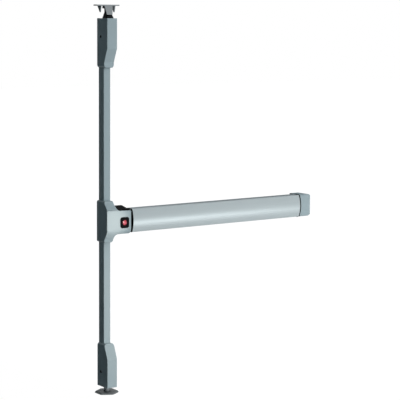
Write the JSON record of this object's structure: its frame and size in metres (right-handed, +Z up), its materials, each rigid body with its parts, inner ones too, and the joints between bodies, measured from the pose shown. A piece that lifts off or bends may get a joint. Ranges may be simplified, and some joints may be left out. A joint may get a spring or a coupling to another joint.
{
  "type": "panic exit device",
  "caption": "Push-bar panic exit device with head case, covered vertical rods, top and bottom bolts in slim latch housings, a frame strike and a floor strike.",
  "frame": {"origin": "centre of the head's four door screws, on the door face", "axes": "+X along the touch bar away from the head, +Y into the door, +Z up along the rods"},
  "size_m": [0.724, 0.0642, 1.0436],
  "materials": {
    "anodised_aluminium": "satin",
    "black_oxide_steel": "satin",
    "black_plastic": "matte",
    "cast_zinc": "satin",
    "natural_nylon": "matte",
    "red_lens_plastic": "gloss",
    "silver_enamel": "satin",
    "spring_steel": "satin",
    "zinc_plated_steel": "satin"
  },
  "bodies": {
    "door_side": {"arm_top_cap": "black_plastic", "badge_bezel": "black_plastic", "carrier_rail": "zinc_plated_steel", "crank_pivot_pins": "zinc_plated_steel", "end_bracket": "zinc_plated_steel", "end_cap": "silver_enamel", "end_cap_screw": "zinc_plated_steel", "end_guide": "black_plastic", "floor_strike": "zinc_plated_steel", "head_base": "zinc_plated_steel", "head_cover": "silver_enamel", "head_cover_screws": "zinc_plated_steel", "indicator_lens": "red_lens_plastic", "lower_bolt_guide": "cast_zinc", "lower_cover_screws": "zinc_plated_steel", "lower_latch_base": "zinc_plated_steel", "lower_latch_cover": "silver_enamel", "lower_latch_spring": "spring_steel", "lower_rod_cover": "silver_enamel", "lower_rod_guides": "natural_nylon", "return_spring": "spring_steel", "rocker_pivot_pin": "zinc_plated_steel", "rocker_retaining_ring": "spring_steel", "spring_guide_rod": "zinc_plated_steel", "spring_seat": "zinc_plated_steel", "top_strike": "zinc_plated_steel", "upper_bolt_guide": "cast_zinc", "upper_cover_screws": "zinc_plated_steel", "upper_latch_base": "zinc_plated_steel", "upper_latch_cover": "silver_enamel", "upper_latch_spring": "spring_steel", "upper_rod_cover": "silver_enamel", "upper_rod_guides": "natural_nylon"},
    "bar": {"push_bar": "anodised_aluminium", "left_bar_insert": "black_plastic", "right_bar_insert": "black_plastic", "left_bar_bracket": "zinc_plated_steel", "right_bar_bracket": "zinc_plated_steel", "bar_bracket_screws": "zinc_plated_steel"},
    "left_crank": {"left_crank": "zinc_plated_steel", "left_crank_pins": "zinc_plated_steel"},
    "right_crank": {"right_crank": "zinc_plated_steel", "right_crank_pins": "zinc_plated_steel"},
    "link": {"sync_link": "zinc_plated_steel"},
    "rocker": {"rocker": "zinc_plated_steel", "rocker_pins": "zinc_plated_steel"},
    "upper_rod": {"upper_yoke": "zinc_plated_steel", "upper_rod": "zinc_plated_steel", "upper_bolt_carrier": "zinc_plated_steel", "upper_roll_pin": "zinc_plated_steel", "upper_bolt": "black_oxide_steel"},
    "lower_rod": {"lower_yoke": "zinc_plated_steel", "lower_rod": "zinc_plated_steel", "lower_bolt_carrier": "zinc_plated_steel", "lower_roll_pin": "zinc_plated_steel", "lower_bolt": "zinc_plated_steel"}
  },
  "joints": [
    {"name": "bar_press", "type": "slide", "parent": "door_side", "child": "bar", "axis": [0, 1, 0], "range_m": [0, 0.012], "stiffness_N_per_m": 1500, "springref_m": -0.02},
    {"name": "left_crank_turn", "type": "hinge", "parent": "door_side", "child": "left_crank", "pos_m": [0.09, -0.0225, -0.01], "axis": [0, 0, 1], "range_deg": [0, 50.76]},
    {"name": "right_crank_turn", "type": "hinge", "parent": "door_side", "child": "right_crank", "pos_m": [0.5935, -0.0225, -0.01], "axis": [0, 0, 1], "range_deg": [0, 50.76]},
    {"name": "link_slide", "type": "slide", "parent": "door_side", "child": "link", "axis": [-1, 0, 0], "range_m": [0, 0.012], "deforming": ["return_spring"]},
    {"name": "rocker_turn", "type": "hinge", "parent": "door_side", "child": "rocker", "pos_m": [0.014, -0.0145, 0], "axis": [0, 1, 0], "range_deg": [0, 50.76]},
    {"name": "upper_rod_slide", "type": "slide", "parent": "door_side", "child": "upper_rod", "axis": [0, 0, -1], "range_m": [0, 0.012], "deforming": ["upper_latch_spring"]},
    {"name": "lower_rod_slide", "type": "slide", "parent": "door_side", "child": "lower_rod", "axis": [0, 0, 1], "range_m": [0, 0.012], "deforming": ["lower_latch_spring"]}
  ],
  "couplings": [
    {"joint": "left_crank_turn", "follows": "bar_press", "rad_per_m": 73.819},
    {"joint": "right_crank_turn", "follows": "bar_press", "rad_per_m": 73.819},
    {"joint": "rocker_turn", "follows": "bar_press", "rad_per_m": 73.819},
    {"joint": "link_slide", "follows": "bar_press", "ratio": 1},
    {"joint": "upper_rod_slide", "follows": "bar_press", "ratio": 1},
    {"joint": "lower_rod_slide", "follows": "bar_press", "ratio": 1}
  ]
}
